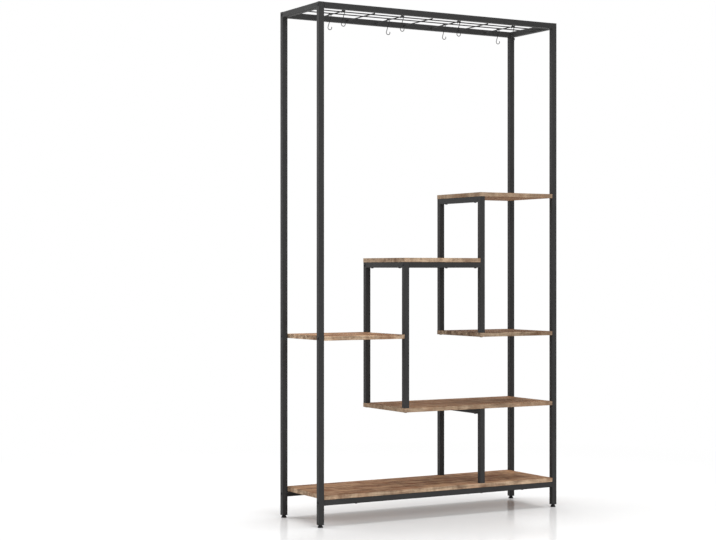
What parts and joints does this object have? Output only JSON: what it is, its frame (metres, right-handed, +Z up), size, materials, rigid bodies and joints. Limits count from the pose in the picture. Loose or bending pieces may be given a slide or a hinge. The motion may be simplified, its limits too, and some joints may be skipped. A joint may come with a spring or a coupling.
{
  "type": "tiered plant stand",
  "caption": "Tall square-tube plant stand with staggered wooden boards, a wire hanging grid on top with swinging S-hooks, and levelling feet.",
  "frame": {"origin": "on the floor under the middle of the stand", "axes": "+Z up, +X from the left bay to the right bay seen from the front, +Y from the front to the back"},
  "size_m": [1.004, 0.3, 1.807],
  "materials": {
    "black_frame": "fine-textured black powder coat",
    "black_wire": "black powder coat on round wire",
    "black_fasteners": "black oxide and lacquer",
    "rustic_wood": "rustic brown, matt, with darker streaks",
    "hook_wire": "thin black coat on round steel wire",
    "zinc_steel": "zinc plated",
    "brass": "turned",
    "black_plastic": "moulded, matt"
  },
  "bodies": {
    "frame": {"post_front_left": "black_frame", "post_back_left": "black_frame", "post_front_right": "black_frame", "post_back_right": "black_frame", "top_rail_front": "black_frame", "top_rail_back": "black_frame", "top_rail_left": "black_frame", "top_rail_right": "black_frame", "bottom_rail_front": "black_frame", "bottom_rail_back": "black_frame", "inner_left_post_front": "black_frame", "inner_left_post_back": "black_frame", "inner_left_crossbar": "black_frame", "upper_right_post_front": "black_frame", "upper_right_post_back": "black_frame", "upper_right_top_crossbar": "black_frame", "upper_right_mid_crossbar": "black_frame", "lower_right_post_front": "black_frame", "lower_right_post_back": "black_frame", "lower_right_crossbar": "black_frame", "centre_rail_front": "black_frame", "centre_rail_back": "black_frame", "bottom_board": "rustic_wood", "low_board": "rustic_wood", "left_board": "rustic_wood", "right_board": "rustic_wood", "centre_board": "rustic_wood", "high_board": "rustic_wood", "grid_long_wires": "black_wire", "grid_cross_wires": "black_wire", "leg_plugs": "black_plastic", "post_caps": "black_plastic", "rail_plugs": "zinc_steel", "post_plugs": "zinc_steel", "board_inserts": "brass", "left_bolts": "black_fasteners", "right_bolts": "black_fasteners", "inner_bolts": "black_fasteners", "standing_bolts": "black_fasteners", "board_screws": "black_fasteners"},
    "foot_front_left": {"foot_front_left": "black_plastic"},
    "foot_back_left": {"foot_back_left": "black_plastic"},
    "foot_front_right": {"foot_front_right": "black_plastic"},
    "foot_back_right": {"foot_back_right": "black_plastic"},
    "hook_front_1": {"hook_front_1": "hook_wire"},
    "hook_front_2": {"hook_front_2": "hook_wire"},
    "hook_front_3": {"hook_front_3": "hook_wire"},
    "hook_front_4": {"hook_front_4": "hook_wire"},
    "hook_back_1": {"hook_back_1": "hook_wire"},
    "hook_back_2": {"hook_back_2": "hook_wire"},
    "hook_back_3": {"hook_back_3": "hook_wire"},
    "hook_back_4": {"hook_back_4": "hook_wire"}
  },
  "joints": [
    {"name": "foot_front_left_height", "type": "slide", "parent": "frame", "child": "foot_front_left", "axis": [0, 0, -1], "range_m": [0, 0.01]},
    {"name": "foot_back_left_height", "type": "slide", "parent": "frame", "child": "foot_back_left", "axis": [0, 0, -1], "range_m": [0, 0.01]},
    {"name": "foot_front_right_height", "type": "slide", "parent": "frame", "child": "foot_front_right", "axis": [0, 0, -1], "range_m": [0, 0.01]},
    {"name": "foot_back_right_height", "type": "slide", "parent": "frame", "child": "foot_back_right", "axis": [0, 0, -1], "range_m": [0, 0.01]},
    {"name": "hook_front_1_swing", "type": "hinge", "parent": "frame", "child": "hook_front_1", "pos_m": [-0.36, -0.064, 1.795], "axis": [0, 1, 0], "range_deg": [-60, 60]},
    {"name": "hook_front_2_swing", "type": "hinge", "parent": "frame", "child": "hook_front_2", "pos_m": [-0.12, -0.064, 1.795], "axis": [0, 1, 0], "range_deg": [-60, 60]},
    {"name": "hook_front_3_swing", "type": "hinge", "parent": "frame", "child": "hook_front_3", "pos_m": [0.12, -0.064, 1.795], "axis": [0, 1, 0], "range_deg": [-60, 60]},
    {"name": "hook_front_4_swing", "type": "hinge", "parent": "frame", "child": "hook_front_4", "pos_m": [0.36, -0.064, 1.795], "axis": [0, 1, 0], "range_deg": [-60, 60]},
    {"name": "hook_back_1_swing", "type": "hinge", "parent": "frame", "child": "hook_back_1", "pos_m": [-0.36, 0.037, 1.795], "axis": [0, 1, 0], "range_deg": [-60, 60]},
    {"name": "hook_back_2_swing", "type": "hinge", "parent": "frame", "child": "hook_back_2", "pos_m": [-0.12, 0.037, 1.795], "axis": [0, 1, 0], "range_deg": [-60, 60]},
    {"name": "hook_back_3_swing", "type": "hinge", "parent": "frame", "child": "hook_back_3", "pos_m": [0.12, 0.037, 1.795], "axis": [0, 1, 0], "range_deg": [-60, 60]},
    {"name": "hook_back_4_swing", "type": "hinge", "parent": "frame", "child": "hook_back_4", "pos_m": [0.36, 0.037, 1.795], "axis": [0, 1, 0], "range_deg": [-60, 60]}
  ]
}
